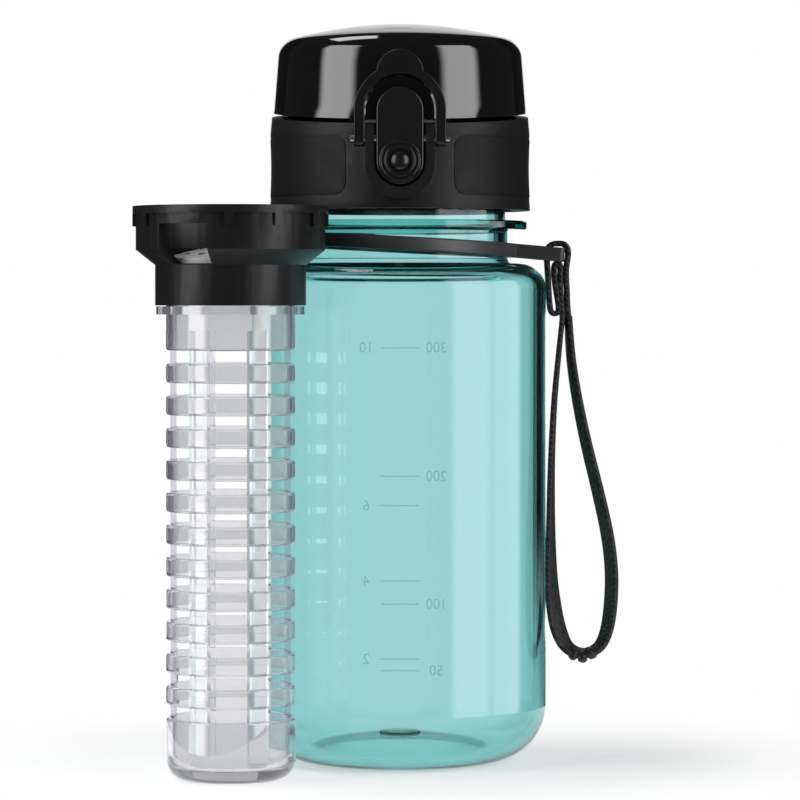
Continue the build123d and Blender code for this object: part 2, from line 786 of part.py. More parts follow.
# Latch button: a pill-shaped lever on the front pin, with a domed stud, two rings and a latch nose
stud_dome_radius = (stud_radius**2 + stud_rise**2) / (2 * stud_rise)
stud_turn = degrees(asin(stud_radius / stud_dome_radius))
with BuildPart() as latch_button:
    with BuildSketch(front_plane(button_back_depth)):
        pill(button_half_width, button_low_centre, button_high_centre)
    extrude(amount=button_front_depth - button_back_depth)
    fillet(latch_button.faces().sort_by(Axis.Y)[0].edges(), button_edge)
    with BuildSketch(front_plane(button_front_depth)):
        with Locations((0, button_low_centre)):
            for ring_radius in ring_radii:
                Circle(ring_radius + ring_width / 2)
                Circle(ring_radius - ring_width / 2, mode=Mode.SUBTRACT)
    extrude(amount=ring_ridge)
    with BuildSketch(front_plane(button_front_depth - stud_groove)):
        with Locations((0, button_low_centre)):
            Circle(stud_radius + stud_groove)
    extrude(amount=overrun, mode=Mode.SUBTRACT)
    with BuildSketch(Plane.XY.offset(button_low_centre)):
        with BuildLine():
            Polyline(
                (0, -button_front_depth - stud_rise),
                (0, -button_front_depth + 2 * stud_groove),
                (stud_radius, -button_front_depth + 2 * stud_groove),
                (stud_radius, -button_front_depth),
            )
            stud_dome_centre = (0, stud_dome_radius - stud_rise - button_front_depth)
            CenterArc(stud_dome_centre, stud_dome_radius, -90, stud_turn)
        make_face()
    revolve(axis=Axis((0, 0, button_low_centre), (0, -1, 0)))
    with BuildSketch(front_plane(button_back_depth - nose_reach)):
        with Locations((0, nose_top_height - nose_height / 2)):
            Rectangle(nose_width, nose_height)
    extrude(amount=nose_reach + running_gap)
    with BuildSketch(front_plane(button_back_depth - running_gap)):
        with Locations((0, button_low_centre)):
            Circle(spring_socket_radius)
    extrude(amount=latch_spring_socket_depth + running_gap, mode=Mode.SUBTRACT)
    with BuildSketch(Plane.YZ.offset(-button_half_width - overrun)):
        with Locations((-pin_depth, pin_height)):
            Circle(pin_radius + running_gap)
    extrude(amount=2 * (button_half_width + overrun), mode=Mode.SUBTRACT)
latch_button.part.label = "latch_button"

# Latch spring: a short coil between the collar's socket and the button's socket
spring_start_depth = spring_floor_depth + latch_spring_wire_radius + seat_gap
spring_end_depth = button_back_depth + latch_spring_socket_depth - latch_spring_wire_radius - seat_gap
with BuildPart() as latch_spring:
    with BuildLine() as spring_path:
        Helix(
            (spring_end_depth - spring_start_depth) / latch_spring_turns,
            spring_end_depth - spring_start_depth,
            latch_spring_radius,
            center=(0, -spring_start_depth, button_low_centre),
            direction=(0, -1, 0),
        )
    with BuildSketch(Plane(origin=spring_path.line @ 0, z_dir=spring_path.line % 0)):
        Circle(latch_spring_wire_radius)
    sweep(path=spring_path.line, is_frenet=True)
latch_spring.part.label = "latch_spring"

# Latch pin: carries the button and the bail, with both ends showing
with BuildPart() as latch_pin:
    with BuildSketch(Plane.YZ.offset(-pin_length / 2)):
        with Locations((-pin_depth, pin_height)):
            Circle(pin_radius)
    extrude(amount=pin_length)
    chamfer(latch_pin.edges(), pin_radius / 6)
latch_pin.part.label = "latch_pin"

# Lock bail: an arch with a thumb tab, on two eyes round the latch pin
bail_back_depth = frame_depth + slide_gap
bail_front_depth = bail_back_depth + bail_thickness
eye_radius = bail_front_depth - pin_depth
with BuildPart() as lock_bail:
    with BuildSketch(front_plane(bail_back_depth)):
        pill(bail_half_width, button_low_centre, bail_arch_height)
        with Locations((0, bail_tab_height - bail_tab_radius)):
            Circle(bail_tab_radius)
        pill(bail_inner_radius, button_low_centre, arch_centre + slide_gap, mode=Mode.SUBTRACT)
        with Locations((0, pin_height)):
            Rectangle(2 * body_radius, 2 * body_radius, align=(Align.CENTER, Align.MAX), mode=Mode.SUBTRACT)
    extrude(amount=bail_thickness)
    for side in (-1, 1):
        with BuildSketch(Plane.YZ.offset(side * bail_inner_radius)):
            with Locations((-pin_depth, pin_height)):
                Circle(eye_radius)
        extrude(amount=side * bail_leg_width)
    with BuildSketch(Plane.YZ.offset(-bail_half_width - overrun)):
        with Locations((-pin_depth, pin_height)):
            Circle(pin_radius + running_gap)
    extrude(amount=2 * (bail_half_width + overrun), mode=Mode.SUBTRACT)
lock_bail.part.label = "lock_bail"

# Strap ring: a tilted band round the neck with a slotted tongue
strap_turn, tongue_turn = radians(strap_tilt), radians(tongue_tilt)
strap_plane = Plane(
    origin=(0, 0, strap_height),
    x_dir=(cos(strap_turn), 0, -sin(strap_turn)),
    z_dir=(sin(strap_turn), 0, cos(strap_turn)),
)
tongue_origin = (tongue_root * cos(strap_turn), 0, strap_height - tongue_root * sin(strap_turn))
tongue_plane = Plane(
    origin=tongue_origin,
    x_dir=(cos(tongue_turn), 0, -sin(tongue_turn)),
    z_dir=(sin(tongue_turn), 0, cos(tongue_turn)),
)
with BuildPart() as neck_strap_ring:
    with BuildSketch(strap_plane):
        Circle(strap_bore_radius + strap_thickness)
        Circle(strap_bore_radius, mode=Mode.SUBTRACT)
    extrude(amount=strap_band / 2, both=True)
    fillet(neck_strap_ring.edges(), strap_edge)
    with BuildSketch(tongue_plane) as tongue:
        Rectangle(tongue_end - tongue_root, tongue_width, align=(Align.MIN, Align.CENTER))
        fillet(tongue.vertices().group_by(Axis.X)[-1], tongue_corner_radius)
        with Locations(((slot_start + slot_end) / 2 - tongue_root, 0)):
            Rectangle(slot_end - slot_start, slot_width, mode=Mode.SUBTRACT)
    extrude(amount=strap_band / 2, both=True)
neck_strap_ring.part.label = "neck_strap_ring"

# Lanyard hitch: the folded webbing round the tongue's end bar, down to where the loop starts
bar_middle = ((slot_end + tongue_end) / 2 - tongue_root) * cos(tongue_turn) + tongue_origin[0]
bar_height = tongue_origin[2] - (bar_middle - tongue_origin[0]) * tan(tongue_turn)
hitch_crown_height = bar_height + strap_band / 2 + webbing_thickness + hitch_gap
hitch_brow_height = bar_height + strap_band / 4
with BuildPart() as lanyard_hitch:
    with BuildSketch(front_plane(-webbing_width / 2)):
        with BuildLine():
            ThreePointArc(
                (hitch_left, hitch_brow_height),
                ((hitch_left + hitch_right) / 2, hitch_crown_height),
                (hitch_right, hitch_brow_height),
            )
            Polyline(
                (hitch_right, hitch_brow_height),
                (hitch_right + webbing_thickness / 3, hitch_bottom),
                (hitch_waist + hitch_fold, hitch_bottom),
                (hitch_waist, hitch_bottom + hitch_fold),
                (hitch_waist, hitch_waist_height),
                (hitch_left, hitch_brow_height),
            )
        make_face()
        with Locations((bar_middle, bar_height)):
            Rectangle(
                tongue_end - slot_end + 2 * hitch_gap,
                strap_band + 2 * hitch_gap,
                rotation=-tongue_tilt,
                mode=Mode.SUBTRACT,
            )
    extrude(amount=webbing_width)
lanyard_hitch.part.label = "lanyard_hitch"

# Lanyard loop: flat webbing along straight runs joined by tangent arcs
run_share = 0.45
corner_radii = []
for before, corner, after in zip(lanyard_points, lanyard_points[1:], lanyard_points[2:]):
    run_in = Vector(*corner) - Vector(*before)
    run_out = Vector(*after) - Vector(*corner)
    half_turn = radians(run_in.get_angle(run_out)) / 2
    corner_radii.append(run_share * min(run_in.length, run_out.length) / tan(half_turn))
print("lanyard bend radii:", [round(radius, 1) for radius in corner_radii])

with BuildPart() as lanyard_loop:
    with BuildLine(Plane.XZ) as lanyard_path:
        lanyard_line = FilletPolyline(*lanyard_points, radius=corner_radii)
    with BuildSketch(Plane(origin=lanyard_path.line @ 0, x_dir=(0, 1, 0), z_dir=lanyard_path.line % 0)):
        Rectangle(webbing_width, webbing_thickness)
    sweep(path=lanyard_path.line)
lanyard_loop.part.label = "lanyard_loop"
section_volume = webbing_width * webbing_thickness * lanyard_line.length
print("lanyard length:", round(lanyard_line.length, 1))
print("lanyard volume against section times length:", round(lanyard_loop.part.volume / section_volume, 4))

# Infuser tube: thick base, a stack of rings with open slots between, and a flange under the cap
ring_height = slot_pitch - slot_height
wall_middle = tube_radius - tube_wall / 2
tube_bore_radius = tube_radius - tube_wall
first_slot_foot = first_slot_height - slot_height / 2
last_slot_top = first_slot_height + (slot_count - 1) * slot_pitch + slot_height / 2
inner_corner = tube_corner_radius - tube_wall
with BuildPart() as infuser_tube:
    with BuildSketch(infuser_section):
        with BuildLine():
            Line((0, 0), (tube_radius - tube_corner_radius, 0))
            CenterArc(
                (tube_radius - tube_corner_radius, tube_corner_radius), tube_corner_radius, -90, 90
            )
            Polyline(
                (tube_radius, tube_corner_radius),
                (tube_radius, first_slot_foot - ring_edge),
                (tube_bore_radius, first_slot_foot - ring_edge),
                (tube_bore_radius, tube_base_thickness + inner_corner),
            )
            CenterArc(
                (tube_bore_radius - inner_corner, tube_base_thickness + inner_corner),
                inner_corner,
                -90,
                90,
            )
            Polyline((tube_bore_radius - inner_corner, tube_base_thickness), (0, tube_base_thickness), (0, 0))
        make_face()
        with BuildLine():
            Polyline(
                (tube_bore_radius, last_slot_top + ring_edge),
                (tube_radius, last_slot_top + ring_edge),
                (tube_radius, tube_flange_height),
                (tube_flange_radius, tube_flange_height),
                (tube_flange_radius, tube_flange_height + tube_flange_thickness),
                (tube_radius, tube_flange_height + tube_flange_thickness),
                (tube_radius, tube_height),
                (tube_bore_radius, tube_height),
                close=True,
            )
        make_face()
        for ring in range(slot_count + 1):
            with Locations((wall_middle, first_slot_height + (ring - 1 / 2) * slot_pitch)):
                RectangleRounded(tube_wall, ring_height, ring_edge)
    revolve(axis=infuser_axis)
    with BuildSketch(infuser_floor.offset(tube_base_thickness)):
        with PolarLocations(tube_bore_radius + (inner_rib_bite - inner_rib_height) / 2, inner_rib_count):
            Rectangle(inner_rib_height + inner_rib_bite, inner_rib_width)
    extrude(amount=last_slot_top + ring_height - tube_base_thickness)
infuser_tube.part.label = "infuser_tube"

# Infuser cap: sleeve, seat for the strainer, open cup with two windows, rim and ribs
seat_height = sleeve_top_height - strainer_seat_thickness
cup_bore_radius = cup_radius - cup_wall
with BuildPart() as infuser_cap:
    with BuildSketch(infuser_section):
        with BuildLine():
            Polyline(
                (sleeve_bore_radius, sleeve_height),
                (sleeve_radius, sleeve_height),
                (sleeve_radius, sleeve_top_height),
                (cup_radius, cup_foot_height),
                (cup_radius, cap_height - rim_thickness),
                (rim_radius, cap_height - rim_thickness),
                (rim_radius, cap_height),
                (cup_bore_radius, cap_height),
                (cup_bore_radius, cup_foot_height + cup_wall / 3),
                (sleeve_bore_radius, sleeve_top_height + cup_wall / 3),
                (sleeve_bore_radius, sleeve_top_height),
                (strainer_radius - strainer_seat_width, sleeve_top_height),
                (strainer_radius - strainer_seat_width, seat_height),
                (sleeve_bore_radius, seat_height),
                close=True,
            )
        make_face()
    revolve(axis=infuser_axis)
    for rib in range(cap_rib_count):
        if rib % (cap_rib_count // window_count):
            with BuildSketch(infuser_floor.offset(cap_height - rim_thickness)):
                rib_angle = window_turn + rib * 360 / cap_rib_count
                with PolarLocations(rim_radius - cup_wall / 2, 1, start_angle=rib_angle):
                    Rectangle(cup_wall, cap_rib_width)
            extrude(amount=-cap_rib_length)
    for window in range(window_count):
        window_middle = window_turn + window * 360 / window_count
        window_sides = [radians(window_middle + side * window_angle / 2) for side in (-1, 1)]
        window_reach = rim_radius + overrun
        with BuildSketch(infuser_floor.offset(window_height)):
            Polygon(
                (0, 0),
                *[(window_reach * cos(side), window_reach * sin(side)) for side in window_sides],
                align=None,
            )
        extrude(amount=window_top_height - window_height, mode=Mode.SUBTRACT)
infuser_cap.part.label = "infuser_cap"

# Strainer: a domed disc with rings of holes, on the cap's seat
strainer_foot_height = sleeve_top_height + seat_gap
dome_rise = strainer_rise - strainer_edge_height
dome_radius = (strainer_radius**2 + dome_rise**2) / (2 * dome_rise)
dome_centre_height = strainer_foot_height + strainer_rise - dome_radius
under_radius = dome_radius - strainer_thickness
strainer_bore = strainer_radius - strainer_seat_width
dome_turn = degrees(asin(strainer_radius / dome_radius))
under_turn = degrees(asin(strainer_bore / under_radius))
under_edge_height = dome_centre_height + under_radius * cos(radians(under_turn))
with BuildPart() as infuser_strainer:
    with BuildSketch(infuser_section):
        with BuildLine():
            CenterArc((0, dome_centre_height), dome_radius, 90 - dome_turn, dome_turn)
            Polyline(
                (strainer_radius, strainer_foot_height + strainer_edge_height),
                (strainer_radius, strainer_foot_height),
                (strainer_bore, strainer_foot_height),
                (strainer_bore, under_edge_height),
            )
            CenterArc((0, dome_centre_height), under_radius, 90 - under_turn, under_turn)
            Line((0, dome_centre_height + under_radius), (0, dome_centre_height + dome_radius))
        make_face()
    revolve(axis=infuser_axis)
    with BuildSketch(infuser_floor.offset(strainer_foot_height)):
        Circle(strainer_hole_radius)
        for ring_share, hole_count in zip(strainer_ring_shares, strainer_hole_counts):
            with PolarLocations(ring_share * strainer_radius, hole_count):
                Circle(strainer_hole_radius)
    extrude(amount=strainer_rise + overrun, mode=Mode.SUBTRACT)
infuser_strainer.part.label = "infuser_strainer"

for piece in (
    bottle_body.part,
    neck_seal_ring.part,
    lid_collar.part,
    grip_panel_left,
    grip_panel_right,
    drinking_spout.part,
    vent_valve.part,
    flip_cover.part,
    cover_seal_plug.part,
    hinge_pin.part,
    cover_spring.part,
    latch_button.part,
    latch_spring.part,
    latch_pin.part,
    lock_bail.part,
    neck_strap_ring.part,
    lanyard_hitch.part,
    lanyard_loop.part,
    infuser_tube.part,
    infuser_cap.part,
    infuser_strainer.part,
):
    export_step(piece, f"parts/{piece.label}.step")
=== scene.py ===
import json
import math

import bmesh
import bpy
from mathutils import Matrix, Vector


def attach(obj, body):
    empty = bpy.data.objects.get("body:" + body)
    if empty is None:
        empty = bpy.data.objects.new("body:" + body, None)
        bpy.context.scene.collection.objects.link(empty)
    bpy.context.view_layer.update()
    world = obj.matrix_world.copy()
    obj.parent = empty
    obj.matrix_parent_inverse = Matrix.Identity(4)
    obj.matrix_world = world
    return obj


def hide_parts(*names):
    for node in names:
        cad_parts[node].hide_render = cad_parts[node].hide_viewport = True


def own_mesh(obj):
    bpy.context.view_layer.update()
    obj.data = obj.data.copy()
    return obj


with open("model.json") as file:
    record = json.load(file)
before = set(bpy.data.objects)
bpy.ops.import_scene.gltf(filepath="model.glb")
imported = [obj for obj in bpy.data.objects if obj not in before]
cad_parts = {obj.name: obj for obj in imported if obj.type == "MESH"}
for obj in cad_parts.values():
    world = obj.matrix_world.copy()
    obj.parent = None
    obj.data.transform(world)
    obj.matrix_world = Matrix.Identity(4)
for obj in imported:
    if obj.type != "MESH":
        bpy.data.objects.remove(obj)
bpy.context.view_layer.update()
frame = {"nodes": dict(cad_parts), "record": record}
nodes = frame["nodes"]

mm = 0.001

# Sizes shared with the part's source, in millimetres
body_radius = 34.0
wall = 2.0
base_wall = 2.3
base_round = 13.0
dome_rise = 3.2
punt_radius = 18.4
shoulder_top = 115.7
shoulder_round = 6.0
neck_foot_radius = 25.1
neck_foot_bore = 22.9
neck_fillet = 1.2
neck_fillet_inside = 2.0
flange_foot = 123.5
flange_top = 125.5
flange_radius = 29.6
neck_radius = 24.6
neck_top = 143.05
neck_edge = 0.3
mouth_radius = 22.3
seal_seat = 138.35
bead_radius = 21.5
bead_foot = 136.95
bead_edge = 0.2
thread_crest_radius = 26.05
thread_pitch = 4.0
thread_turns = 1.25
thread_start = 132.0
thread_root_width = 2.0
thread_crest_width = 1.0
button_front = -32.9
stud_height = 138.5
stud_ring_radii = (3.35, 4.45)


def new_material(name):
    """A material with an empty node tree, its output and its principled shader."""
    made = bpy.data.materials.new(name)
    made.use_nodes = True
    tree = made.node_tree
    tree.nodes.clear()
    output = tree.nodes.new("ShaderNodeOutputMaterial")
    shader = tree.nodes.new("ShaderNodeBsdfPrincipled")
    tree.links.new(shader.outputs["BSDF"], output.inputs["Surface"])
    return made, tree, shader, output


def noise(tree, scale, detail=2.0, stretch=(1.0, 1.0, 1.0)):
    """A noise pattern in the piece's own coordinates."""
    place = tree.nodes.new("ShaderNodeTexCoord")
    mapping = tree.nodes.new("ShaderNodeMapping")
    mapping.inputs["Scale"].default_value = stretch
    tree.links.new(place.outputs["Object"], mapping.inputs["Vector"])
    pattern = tree.nodes.new("ShaderNodeTexNoise")
    pattern.inputs["Scale"].default_value = scale
    pattern.inputs["Detail"].default_value = detail
    tree.links.new(mapping.outputs["Vector"], pattern.inputs["Vector"])
    return pattern.outputs["Fac"]


def spread(tree, value, low, high):
    """The pattern's values, moved into the span from low to high."""
    span = tree.nodes.new("ShaderNodeMapRange")
    span.inputs["From Min"].default_value = 0.3
    span.inputs["From Max"].default_value = 0.7
    span.inputs["To Min"].default_value = low
    span.inputs["To Max"].default_value = high
    tree.links.new(value, span.inputs["Value"])
    return span.outputs["Result"]


def two_tones(tree, value, first, second):
    """A colour that goes from the first tone to the second with the pattern."""
    mix = tree.nodes.new("ShaderNodeMix")
    mix.data_type = "RGBA"
    mix.inputs["A"].default_value = (*first, 1)
    mix.inputs["B"].default_value = (*second, 1)
    tree.links.new(value, mix.inputs["Factor"])
    return mix.outputs["Result"]


def grain(tree, shader, value, height):
    """A fine relief from a pattern."""
    relief = tree.nodes.new("ShaderNodeBump")
    relief.inputs["Strength"].default_value = 1.0
    relief.inputs["Distance"].default_value = height
    tree.links.new(value, relief.inputs["Height"])
    tree.links.new(relief.outputs["Normal"], shader.inputs["Normal"])


def solid_plastic(name, tone, roughness, variation=0.15, grain_height=0.0, specular=0.5):
    """Opaque plastic or rubber: tone and gloss vary a little, with a fine grain."""
    made, tree, shader, _ = new_material(name)
    pattern = noise(tree, 90.0)
    darker = tuple(part * (1 - variation) for part in tone)
    lighter = tuple(part * (1 + variation) for part in tone)
    tree.links.new(two_tones(tree, pattern, darker, lighter), shader.inputs["Base Color"])
    gloss = spread(tree, noise(tree, 240.0), roughness * 0.93, roughness * 1.07)
    tree.links.new(gloss, shader.inputs["Roughness"])
    shader.inputs["Specular IOR Level"].default_value = specular
    if grain_height:
        grain(tree, shader, noise(tree, 2500.0, 1.0), grain_height)
    return made


def clear_plastic(name, tints, absorb_colour, absorb_density, shadow_tint, ior, coat, haze=0.0):
    """See-through plastic: clear to look through, darker where the light goes along the wall."""
    made, tree, shader, output = new_material(name)
    pattern = noise(tree, 45.0)
    tree.links.new(two_tones(tree, pattern, *tints), shader.inputs["Base Color"])
    gloss = spread(tree, noise(tree, 60.0), 0.0, 0.02)
    tree.links.new(gloss, shader.inputs["Roughness"])
    shader.inputs["IOR"].default_value = ior
    shader.inputs["Transmission Weight"].default_value = 1.0 - haze
    shader.inputs["Coat Weight"].default_value = coat
    shader.inputs["Coat IOR"].default_value = 1.75
    see_through = tree.nodes.new("ShaderNodeBsdfTransparent")
    see_through.inputs["Color"].default_value = (*shadow_tint, 1)
    path = tree.nodes.new("ShaderNodeLightPath")
    mix = tree.nodes.new("ShaderNodeMixShader")
    tree.links.new(path.outputs["Is Shadow Ray"], mix.inputs["Fac"])
    tree.links.new(shader.outputs["BSDF"], mix.inputs[1])
    tree.links.new(see_through.outputs["BSDF"], mix.inputs[2])
    tree.links.new(mix.outputs["Shader"], output.inputs["Surface"])
    volume = tree.nodes.new("ShaderNodeVolumeAbsorption")
    volume.inputs["Color"].default_value = (*absorb_colour, 1)
    volume.inputs["Density"].default_value = absorb_density
    tree.links.new(volume.outputs["Volume"], output.inputs["Volume"])
    return made


def metal(name, tone, roughness):
    """Drawn steel wire with a fine grain along it."""
    made, tree, shader, _ = new_material(name)
    lines = noise(tree, 900.0, 3.0, (0.05, 1.0, 1.0))
    darker = tuple(0.85 * part for part in tone)
    tree.links.new(two_tones(tree, lines, darker, tone), shader.inputs["Base Color"])
    tree.links.new(spread(tree, lines, roughness, roughness * 1.5), shader.inputs["Roughness"])
    shader.inputs["Metallic"].default_value = 1.0
    return made


def webbing_material():
    """Black woven tape: slanting ribs of yarn with paler flecks."""
    made, tree, shader, _ = new_material("webbing")
    flecks = noise(tree, 1300.0, 2.0, (1.0, 1.0, 0.6))
    place = tree.nodes.new("ShaderNodeTexCoord")
    ribs = tree.nodes.new("ShaderNodeTexWave")
    ribs.bands_direction = "DIAGONAL"
    ribs.inputs["Scale"].default_value = 460.0
    ribs.inputs["Distortion"].default_value = 4.0
    ribs.inputs["Detail"].default_value = 1.0
    tree.links.new(place.outputs["Object"], ribs.inputs["Vector"])
    weave = tree.nodes.new("ShaderNodeMath")
    weave.operation = "MULTIPLY"
    tree.links.new(spread(tree, flecks, 0.2, 1.0), weave.inputs[0])
    tree.links.new(ribs.outputs["Fac"], weave.inputs[1])
    yarn = two_tones(tree, weave.outputs["Value"], (0.004, 0.004, 0.0045), (0.04, 0.04, 0.042))
    tree.links.new(yarn, shader.inputs["Base Color"])
    tree.links.new(spread(tree, flecks, 0.45, 0.65), shader.inputs["Roughness"])
    shader.inputs["Specular IOR Level"].default_value = 0.35
    grain(tree, shader, weave.outputs["Value"], 0.00012)
    return made


def scale_print(name, tone, opacity):
    """The faint raised scale: clear over a little of its own tone."""
    made, tree, shader, _ = new_material(name)
    pattern = noise(tree, 600.0)
    darker = tuple(0.9 * part for part in tone)
    tree.links.new(two_tones(tree, pattern, darker, tone), shader.inputs["Base Color"])
    shader.inputs["Roughness"].default_value = 0.35
    shader.inputs["Alpha"].default_value = opacity
    return made


scale_ink = scale_print("scale_relief", (0.05, 0.22, 0.23), 0.16)

MATERIALS = {
    "aqua_clear": clear_plastic(
        "aqua_clear", ((0.985, 0.995, 0.995), (1.0, 1.0, 1.0)), absorb_colour=(0.155, 0.69, 0.69),
        absorb_density=310.0, shadow_tint=(1.0, 0.73, 0.73), ior=1.345, coat=0.12,
    ),
    "infuser_clear": clear_plastic(
        "infuser_clear", ((0.78, 0.78, 0.82), (0.83, 0.83, 0.86)), absorb_colour=(0.32, 0.32, 0.36),
        absorb_density=50.0, shadow_tint=(0.8, 0.8, 0.8), ior=1.3, coat=0.8, haze=0.08,
    ),
    "black_matte": solid_plastic("black_matte", (0.006, 0.006, 0.0063), 0.5, 0.1, 0.00001, 0.25),
    "grip_rubber": solid_plastic("grip_rubber", (0.005, 0.005, 0.0052), 0.55, 0.1, 0.00001, 0.2),
    "black_gloss": solid_plastic("black_gloss", (0.004, 0.004, 0.0042), 0.06, 0.2, specular=0.8),
    "button_matte": solid_plastic("button_matte", (0.008, 0.008, 0.0083), 0.24, 0.1, 0.000005, 0.42),
    "bail_matte": solid_plastic("bail_matte", (0.005, 0.005, 0.0053), 0.32, 0.1, 0.000005, 0.4),
    "infuser_black": solid_plastic("infuser_black", (0.008, 0.008, 0.0084), 0.36, 0.1, 0.00002, 0.26),
    "strap_rubber": solid_plastic("strap_rubber", (0.03, 0.03, 0.032), 0.45, 0.15, 0.00002),
    "spout_plastic": solid_plastic("spout_plastic", (0.03, 0.03, 0.031), 0.3),
    "silicone": solid_plastic("silicone", (0.62, 0.64, 0.64), 0.45),
    "grey_plastic": solid_plastic("grey_plastic", (0.30, 0.30, 0.31), 0.4, 0.1),
    "steel": metal("steel", (0.72, 0.72, 0.73), 0.22),
    "webbing": webbing_material(),
}


# Shapes
def shade(piece, angle=35.0):
    """Smooth faces with sharp edges where two faces meet at more than the angle."""
    for face in piece.data.polygons:
        face.use_smooth = True
    piece.data.set_sharp_from_angle(angle=math.radians(angle))


def add_object(name, data):
    """A new object of the scene from its mesh or curve."""
    made = bpy.data.objects.new(name, data)
    bpy.context.scene.collection.objects.link(made)
    return made


def finished(work, name):
    """The object made of a closed surface that was drawn with bmesh."""
    bmesh.ops.recalc_face_normals(work, faces=work.faces)
    mesh = bpy.data.meshes.new(name)
    work.to_mesh(mesh)
    work.free()
    return add_object(name, mesh)


def skin(work, rings):
    """Joins closed rings of points one after the other, with a cap at both ends."""
    for first, second in zip(rings, rings[1:]):
        for here in range(len(first)):
            after = (here + 1) % len(first)
            work.faces.new((first[here], first[after], second[after], second[here]))
    work.faces.new(rings[0])
    work.faces.new(rings[-1])


def place(piece, body, slot, *replaced):
    """Gives a piece its material, body and the solids that it stands for."""
    piece.data.materials.clear()
    piece.data.materials.append(MATERIALS[slot])
    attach(piece, body)
    if replaced:
        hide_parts(*replaced)
    return piece


def arc(centre, radius, start, span, steps=10):
    """Points along an arc, both ends included."""
    turns = [math.radians(start + span * step / steps) for step in range(steps + 1)]
    return [(centre[0] + radius * math.cos(turn), centre[1] + radius * math.sin(turn)) for turn in turns]


def dome(radius, rise, foot, steps=12):
    """Points of a shallow dome from its middle out to its rim."""
    ball = (radius**2 + rise**2) / (2 * rise)
    turns = [math.asin(radius / ball) * step / steps for step in range(steps + 1)]
    return [(ball * math.sin(turn), foot + rise - ball + ball * math.cos(turn)) for turn in turns]


def lathe(name, outline, segments=192):
    """A closed outline of (radius, height) in millimetres, turned about the upright axis."""
    work = bmesh.new()
    rings = []
    for radius, height in outline:
        if radius < 1e-3:
            rings.append([work.verts.new((0.0, 0.0, height * mm))])
            continue
        turns = [2 * math.pi * segment / segments for segment in range(segments)]
        rings.append([
            work.verts.new((radius * mm * math.cos(turn), radius * mm * math.sin(turn), height * mm))
            for turn in turns
        ])
    for first, second in zip(rings, rings[1:] + rings[:1]):
        if len(first) == 1 and len(second) == 1:
            continue
        for segment in range(segments):
            after = (segment + 1) % segments
            if len(first) == 1:
                work.faces.new((first[0], second[segment], second[after]))
            elif len(second) == 1:
                work.faces.new((first[segment], first[after], second[0]))
            else:
                work.faces.new((first[segment], first[after], second[after], second[segment]))
    made = finished(work, name)
    shade(made)
    return made


slot_of = {part["node"]: part["material_slot"] for part in frame["record"]["subparts"]}
for name, piece in nodes.items():
    piece.data.materials.clear()
    piece.data.materials.append(MATERIALS[slot_of[name]])

# Softened edges that catch the light on the lid's and the infuser's pieces
edge_widths = {
    "lock_bail": 0.3, "latch_button": 0.2, "flip_cover": 0.38, "infuser_cap": 0.3, "lid_collar": 0.18,
    "grip_panel_left": 0.3, "grip_panel_right": 0.3, "neck_strap_ring": 0.3,
}
for name, width in edge_widths.items():
    joined = nodes[name].modifiers.new("joined", "WELD")
    joined.merge_threshold = 0.005 * mm
    rounded = nodes[name].modifiers.new("rounded", "BEVEL")
    rounded.width = width * mm
    rounded.segments = 3
    rounded.limit_method = "ANGLE"
    rounded.angle_limit = math.radians(50)
    rounded.harden_normals = True

# Bottle shell, turned finer than the solid: up the outside, over the mouth and down the inside
round_centre = body_radius - base_round
shoulder_centre = (body_radius - shoulder_round, shoulder_top - shoulder_round)
inner_round = base_round - wall
bead_slope = neck_foot_bore - bead_radius - bead_edge
gate_boss = [(4.9, 5.35), (4.7, 5.9), (4.4, 6.05), (0.0, 6.1), (0.0, dome_rise)]
bottle_outline = (
    arc((round_centre, base_round), base_round, -90, 90, 24)
    + arc(shoulder_centre, shoulder_round, 0, 90, 16)
    + arc((neck_foot_radius + neck_fillet, shoulder_top + neck_fillet), neck_fillet, 270, -90, 8)
    + [
        (neck_foot_radius, flange_foot - neck_edge),
        (neck_foot_radius + neck_edge, flange_foot),
        (flange_radius - neck_edge, flange_foot),
        (flange_radius, flange_foot + neck_edge),
        (flange_radius, flange_top - neck_edge),
        (flange_radius - neck_edge, flange_top),
        (neck_radius, flange_top),
        (neck_radius, neck_top - neck_edge),
        (neck_radius - neck_edge, neck_top),
        (mouth_radius + neck_edge, neck_top),
        (mouth_radius, neck_top - neck_edge),
        (mouth_radius, seal_seat),
        (bead_radius + bead_edge, seal_seat),
        (bead_radius, seal_seat - bead_edge),
        (bead_radius, bead_foot),
        (bead_radius + bead_edge, bead_foot - 2 * bead_edge),
        (neck_foot_bore, bead_foot - 2 * bead_edge - bead_slope),
    ]
    + arc((neck_foot_bore + neck_fillet_inside, shoulder_top), neck_fillet_inside, 180, 90, 8)
    + arc(shoulder_centre, shoulder_round - wall, 90, -90, 16)
    + arc((round_centre, base_wall + inner_round), inner_round, 0, -90, 24)[:-1]
    + dome(round_centre, dome_rise, base_wall)[:3:-1]
    + gate_boss
    + dome(punt_radius, dome_rise, 0.0)[1:]
)
shell = lathe("bottle_shell", bottle_outline, segments=256)
place(shell, "bottle", "aqua_clear", "bottle_body")


